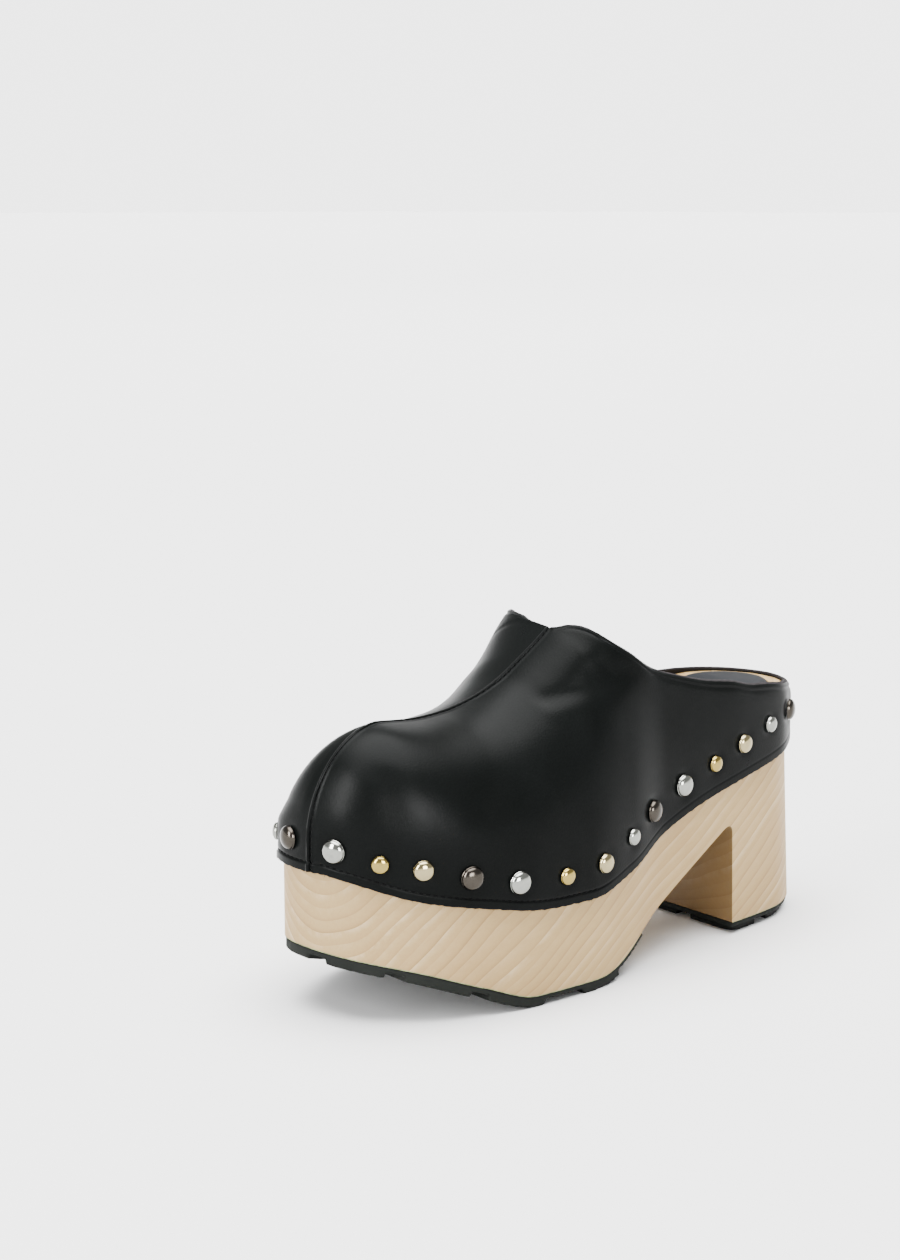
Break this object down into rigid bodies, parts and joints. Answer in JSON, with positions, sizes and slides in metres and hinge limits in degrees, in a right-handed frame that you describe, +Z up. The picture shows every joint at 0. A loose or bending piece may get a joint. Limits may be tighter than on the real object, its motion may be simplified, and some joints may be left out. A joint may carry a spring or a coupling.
{
  "type": "clog",
  "caption": "Left wooden clog with platform and block heel, lugged rubber treads, black leather vamp with a raised middle seam, low open heel, and domed nails along its hem.",
  "frame": {"origin": "middle of the clog's box on the floor, so the lugs stand at z = 0", "axes": "+Z up, toe towards -Y, heel towards +Y, outer side of the left foot towards +X"},
  "size_m": [0.099, 0.2558, 0.139],
  "materials": {
    "pale_wood": "satin, pale, fine growth lines",
    "tread_rubber": "matte, near black",
    "insole_leather": "matte, dark blue grey, padded",
    "black_leather": "semi-matte, smooth, fine grain",
    "silver_metal": "polished",
    "gold_metal": "polished",
    "pale_gold_metal": "polished, pale",
    "gunmetal": "dark, polished"
  },
  "bodies": {
    "root": {"wooden_sole": "pale_wood", "forefoot_tread": "tread_rubber", "heel_tread": "tread_rubber", "insole": "insole_leather", "upper": "black_leather", "stud_inner_01_gunmetal_large": "gunmetal", "stud_inner_02_silver_small": "silver_metal", "stud_inner_03_pale_medium": "pale_gold_metal", "stud_inner_04_gold_small": "gold_metal", "stud_inner_05_silver_large": "silver_metal", "stud_inner_06_gunmetal_large": "gunmetal", "stud_inner_07_silver_small": "silver_metal", "stud_inner_08_pale_medium": "pale_gold_metal", "stud_inner_09_gold_small": "gold_metal", "stud_inner_10_silver_large": "silver_metal", "stud_inner_11_gunmetal_large": "gunmetal", "stud_inner_12_silver_small": "silver_metal", "stud_inner_13_pale_medium": "pale_gold_metal", "stud_inner_14_gold_small": "gold_metal", "stud_outer_01_silver_large": "silver_metal", "stud_outer_02_gold_small": "gold_metal", "stud_outer_03_pale_medium": "pale_gold_metal", "stud_outer_04_gunmetal_large": "gunmetal", "stud_outer_05_silver_large": "silver_metal", "stud_outer_06_gold_small": "gold_metal", "stud_outer_07_pale_medium": "pale_gold_metal", "stud_outer_08_silver_small": "silver_metal", "stud_outer_09_gunmetal_large": "gunmetal", "stud_outer_10_silver_large": "silver_metal", "stud_outer_11_gold_small": "gold_metal", "stud_outer_12_pale_medium": "pale_gold_metal", "stud_outer_13_silver_small": "silver_metal", "stud_outer_14_gunmetal_large": "gunmetal"}
  },
  "joints": []
}
